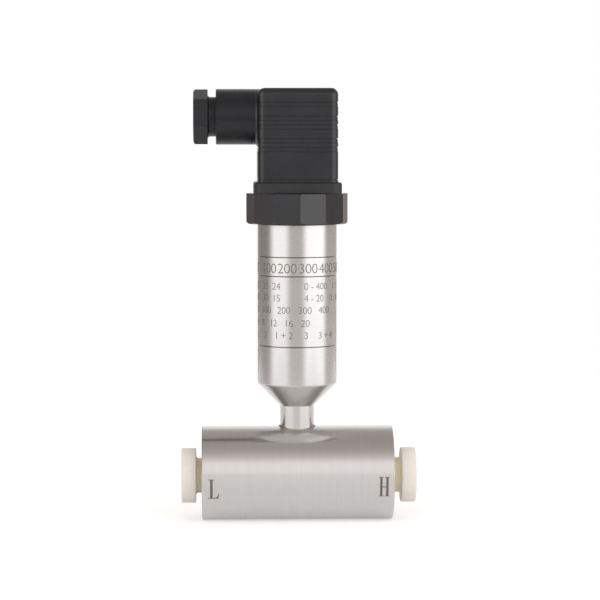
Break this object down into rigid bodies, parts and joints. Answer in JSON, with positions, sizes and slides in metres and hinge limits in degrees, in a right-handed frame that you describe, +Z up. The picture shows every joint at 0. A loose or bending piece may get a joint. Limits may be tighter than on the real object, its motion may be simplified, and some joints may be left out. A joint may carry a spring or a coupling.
{
  "type": "differential pressure transmitter",
  "caption": "In-line differential pressure transmitter: round steel bar with plugged end ports, neck, turned barrel and angled black cable connector.",
  "frame": {"origin": "under the barrel's axis, on the lowest line of the round pressure body", "axes": "+Z up along the barrel, +X from the low side port to the high side port, the front faces -Y"},
  "size_m": [0.0799, 0.0344, 0.1469],
  "materials": {
    "turned_steel": "fine turned stainless steel, satin",
    "weld_steel": "smooth weld bead",
    "natural_nylon": "natural cream nylon, slightly translucent",
    "cell_steel": "fine ground stainless steel",
    "black_rubber": "smooth rubber",
    "silicon": "polished silicon",
    "header_glass": "fused glass",
    "gilt_pins": "gold flashed",
    "lead_insulation": "smooth wire insulation",
    "black_nylon": "moulded glass-filled nylon, fine satin grain",
    "collar_nylon": "moulded glass-filled nylon, satin",
    "holder_nylon": "moulded nylon",
    "gland_nylon": "moulded nylon, satin",
    "board_laminate": "green solder resist",
    "chip_resin": "moulded resin",
    "capacitor_ceramic": "tan ceramic with tinned ends",
    "tinned_brass": "tinned, dull bright",
    "brass": "turned brass",
    "gasket_rubber": "moulded rubber, satin",
    "plated_screws": "zinc plated"
  },
  "bodies": {
    "transmitter": {"pressure_body": "turned_steel", "high_port_insert": "turned_steel", "neck_weld": "weld_steel", "barrel_housing": "turned_steel", "sensor_cell": "cell_steel", "isolating_diaphragms": "cell_steel", "sensor_seals": "black_rubber", "sensing_chip": "silicon", "sensor_header": "header_glass", "header_pins": "gilt_pins", "sensor_leads": "lead_insulation", "board_guide": "black_nylon", "circuit_board": "board_laminate", "processor_chip": "chip_resin", "driver_chip": "chip_resin", "surge_suppressor": "chip_resin", "board_capacitors": "capacitor_ceramic", "connector_base": "collar_nylon", "base_seal": "black_rubber", "contact_blades": "tinned_brass", "earth_blade": "tinned_brass", "threaded_insert": "brass"},
    "low_plug": {"port_plug_low": "natural_nylon"},
    "high_plug": {"port_plug_high": "natural_nylon"},
    "connector": {"connector_housing": "black_nylon", "profile_gasket": "gasket_rubber", "contact_holder": "holder_nylon", "socket_contacts": "tinned_brass", "terminal_screws": "plated_screws", "gland_grommet": "black_rubber"},
    "captive_seal": {"screw_seal": "black_rubber"},
    "centre_screw": {"centre_screw": "plated_screws"},
    "gland_washer": {"gland_washer": "plated_screws"},
    "gland_screw": {"gland_screw": "gland_nylon"}
  },
  "joints": [
    {"name": "low_plug_pull", "type": "slide", "parent": "transmitter", "child": "low_plug", "axis": [-1, 0, 0], "range_m": [0, 0.025]},
    {"name": "high_plug_pull", "type": "slide", "parent": "transmitter", "child": "high_plug", "axis": [1, 0, 0], "range_m": [0, 0.025]},
    {"name": "connector_lift", "type": "slide", "parent": "transmitter", "child": "connector", "axis": [0, 0, 1], "range_m": [0, 0.03]},
    {"name": "centre_screw_rise", "type": "slide", "parent": "connector", "child": "captive_seal", "axis": [0, 0, 1], "range_m": [0, 0.006]},
    {"name": "centre_screw_turn", "type": "hinge", "parent": "captive_seal", "child": "centre_screw", "pos_m": [0, 0, 0.14], "axis": [0, 0, 1], "range_deg": [0, 4325]},
    {"name": "gland_advance", "type": "slide", "parent": "connector", "child": "gland_washer", "axis": [1, 0, 0], "range_m": [-0.0035, 0.0027]},
    {"name": "gland_turn", "type": "hinge", "parent": "gland_washer", "child": "gland_screw", "pos_m": [-0.0295, 0, 0.13735], "axis": [1, 0, 0], "range_deg": [-900, 700]}
  ],
  "couplings": [
    {"joint": "gland_turn", "follows": "gland_advance", "rad_per_m": 4453},
    {"joint": "centre_screw_turn", "follows": "centre_screw_rise", "rad_per_m": 12566}
  ]
}
